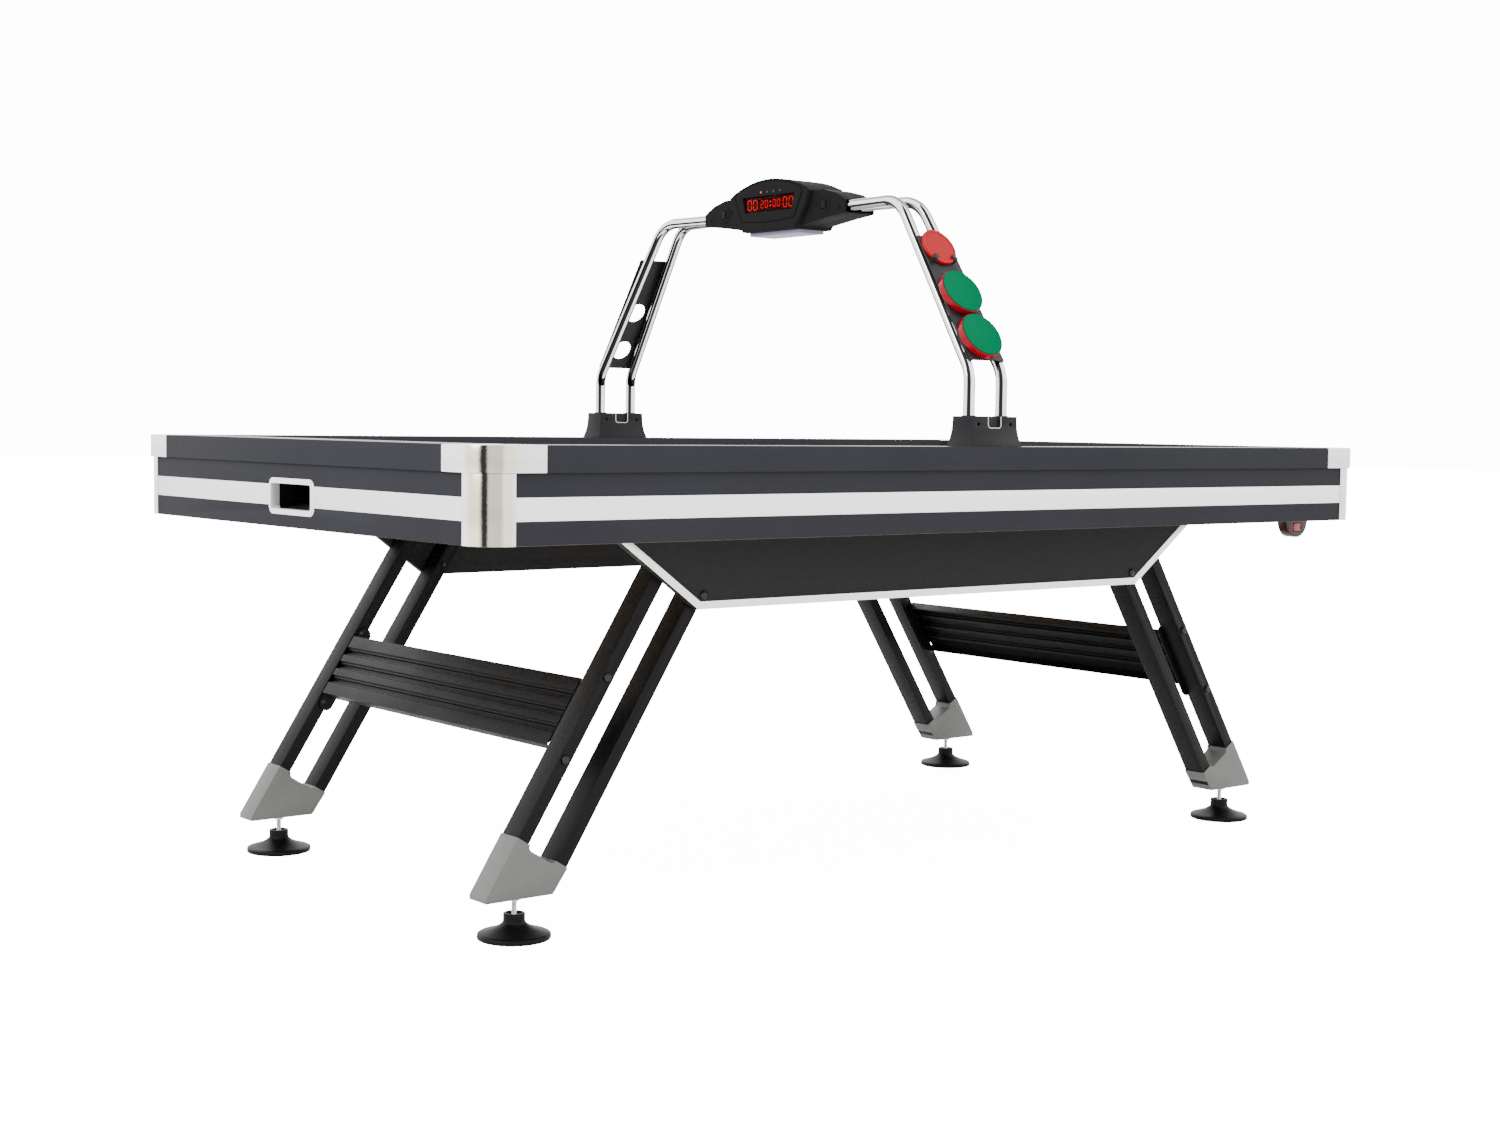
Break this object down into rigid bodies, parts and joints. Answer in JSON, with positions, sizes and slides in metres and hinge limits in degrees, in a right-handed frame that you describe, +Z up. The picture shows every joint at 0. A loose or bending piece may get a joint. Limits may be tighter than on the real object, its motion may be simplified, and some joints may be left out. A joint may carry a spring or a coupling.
{
  "type": "air hockey table",
  "caption": "Air hockey table with silver corner caps, splayed twin-tube legs, round levellers and a chrome tube arch carrying an overhead electronic scorer.",
  "frame": {"origin": "on the floor under the centre of the table", "axes": "+X along the length, +Y across the table away from the side with the switch, +Z up"},
  "size_m": [2.286, 1.311, 1.395],
  "materials": {
    "playfield_gloss": "glossy white laminate",
    "rail_black": "board with a smooth satin black laminate",
    "apron_black": "board with a satin black laminate",
    "stripe_silver": "brushed silver film",
    "corner_metal": "satin nickel",
    "bezel_silver": "satin silver",
    "sheet_black": "satin black",
    "board_raw": "raw fibreboard",
    "blower_plastic": "moulded",
    "motor_steel": "zinc plated",
    "switch_dark": "glossy dark",
    "switch_red": "glossy red",
    "trim_silver": "satin silver edge",
    "tube_black": "fine textured powder coat",
    "shoe_grey": "silver-grey paint",
    "zinc": "zinc plated",
    "leveller_black": "moulded black",
    "bolt_black": "black oxide",
    "arch_plastic": "fine texture",
    "arch_chrome": "polished",
    "puck_red": "glossy red",
    "pusher_red": "glossy red",
    "felt_green": "felt",
    "pod_plastic": "fine spark texture",
    "lens_red": "smoked red",
    "display_board": "dark red board with lit red digits",
    "diffuser": "translucent violet-white",
    "button_black": "soft black"
  },
  "bodies": {
    "table": {"playfield": "playfield_gloss", "rail_near": "rail_black", "rail_far": "rail_black", "rail_end_a": "rail_black", "rail_end_b": "rail_black", "apron_near": "apron_black", "apron_far": "apron_black", "apron_end_a": "apron_black", "apron_end_b": "apron_black", "apron_stripes": "stripe_silver", "corner_caps": "corner_metal", "corner_posts": "corner_metal", "return_bezel_a": "bezel_silver", "return_bezel_b": "bezel_silver", "goal_box_a": "sheet_black", "goal_box_b": "sheet_black", "cabinet_bottom": "board_raw", "plenum_frame": "board_raw", "plenum_floor": "board_raw", "blower_housing": "blower_plastic", "blower_motor": "motor_steel", "intake_grille": "sheet_black", "switch_pod": "switch_dark", "side_panel_near": "apron_black", "side_panel_far": "apron_black", "panel_trims": "trim_silver", "leg_1": "tube_black", "leg_2": "tube_black", "leg_3": "tube_black", "leg_4": "tube_black", "leg_shoes": "shoe_grey", "jam_nuts": "zinc", "cross_panel_a": "tube_black", "cross_panel_b": "tube_black", "cross_brackets": "tube_black", "frame_bolts": "bolt_black", "arch_base_near": "arch_plastic", "arch_base_far": "arch_plastic", "arch_tubes_near": "arch_chrome", "arch_tubes_far": "arch_chrome", "rack_near": "sheet_black", "rack_far": "sheet_black", "pod_front": "pod_plastic", "pod_back": "pod_plastic", "display_lenses": "lens_red", "digit_boards": "display_board", "pod_light": "diffuser"},
    "impeller": {"blower_impeller": "blower_plastic"},
    "rocker": {"power_rocker": "switch_red"},
    "leveller_body_1": {"leveller_1": "leveller_black"},
    "leveller_body_2": {"leveller_2": "leveller_black"},
    "leveller_body_3": {"leveller_3": "leveller_black"},
    "leveller_body_4": {"leveller_4": "leveller_black"},
    "puck_body": {"puck": "puck_red"},
    "pusher_upper_body": {"pusher_upper": "pusher_red", "felt_upper": "felt_green"},
    "pusher_lower_body": {"pusher_lower": "pusher_red", "felt_lower": "felt_green"},
    "start_button": {"button_start": "button_black"},
    "reset_button": {"button_reset": "button_black"}
  },
  "joints": [
    {"name": "impeller_spin", "type": "hinge", "parent": "table", "child": "impeller", "pos_m": [0, 0, 0.72], "axis": [0, 0, 1], "continuous": true},
    {"name": "rocker_tilt", "type": "hinge", "parent": "table", "child": "rocker", "pos_m": [0.971, -0.609, 0.669], "axis": [1, 0, 0], "range_deg": [-8, 8], "stiffness_Nm_per_rad": 0.005},
    {"name": "leveller_1_height", "type": "slide", "parent": "table", "child": "leveller_body_1", "axis": [0, 0, -1], "range_m": [0, 0.02]},
    {"name": "leveller_2_height", "type": "slide", "parent": "table", "child": "leveller_body_2", "axis": [0, 0, -1], "range_m": [0, 0.02]},
    {"name": "leveller_3_height", "type": "slide", "parent": "table", "child": "leveller_body_3", "axis": [0, 0, -1], "range_m": [0, 0.02]},
    {"name": "leveller_4_height", "type": "slide", "parent": "table", "child": "leveller_body_4", "axis": [0, 0, -1], "range_m": [0, 0.02]},
    {"name": "puck_lift_out", "type": "slide", "parent": "table", "child": "puck_body", "axis": [0, 0.545, 0.8384], "range_m": [0, 0.1]},
    {"name": "pusher_upper_lift_out", "type": "slide", "parent": "table", "child": "pusher_upper_body", "axis": [0, -0.8384, 0.545], "range_m": [0, 0.08]},
    {"name": "pusher_lower_lift_out", "type": "slide", "parent": "table", "child": "pusher_lower_body", "axis": [0, -0.8384, 0.545], "range_m": [0, 0.08]},
    {"name": "start_press", "type": "slide", "parent": "table", "child": "start_button", "axis": [1, 0, 0], "range_m": [0, 0.002], "stiffness_N_per_m": 300},
    {"name": "reset_press", "type": "slide", "parent": "table", "child": "reset_button", "axis": [1, 0, 0], "range_m": [0, 0.002], "stiffness_N_per_m": 300}
  ]
}
